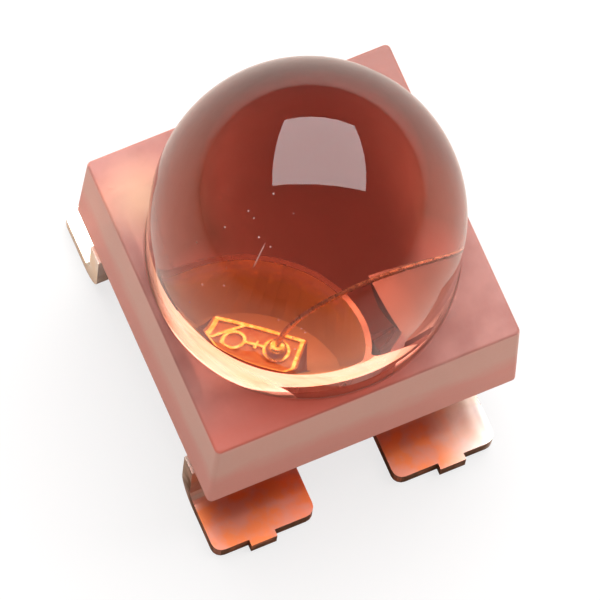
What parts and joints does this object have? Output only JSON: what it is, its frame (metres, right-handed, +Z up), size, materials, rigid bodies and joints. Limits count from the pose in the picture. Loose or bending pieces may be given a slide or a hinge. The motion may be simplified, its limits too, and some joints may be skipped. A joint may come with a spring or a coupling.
{
  "type": "smd led",
  "caption": "Surface-mount LED lamp: a square moulded resin body with a tall clear dome lens, flat formed metal feet, and a die with a gold bond wire in a reflector cup inside.",
  "frame": {"origin": "on the board plane under the middle of the body", "axes": "+Z up through the dome, +X from the cathode frame to the anode frame, -Y to the side whose two feet face the viewer in the picture"},
  "size_m": [0.0044, 0.0052, 0.0068],
  "materials": {
    "resin": "clear red tinted resin, polished dome and matt base",
    "plated_frame": "satin silver-white plating on copper alloy",
    "die": "polished semiconductor",
    "die_paste": "silver-filled paste",
    "gold": "gold"
  },
  "bodies": {
    "root": {"lens_body": "resin", "cathode_frame": "plated_frame", "anode_frame": "plated_frame", "led_chip": "die", "die_adhesive": "die_paste", "chip_contact": "gold", "bond_wire": "gold"}
  },
  "joints": []
}
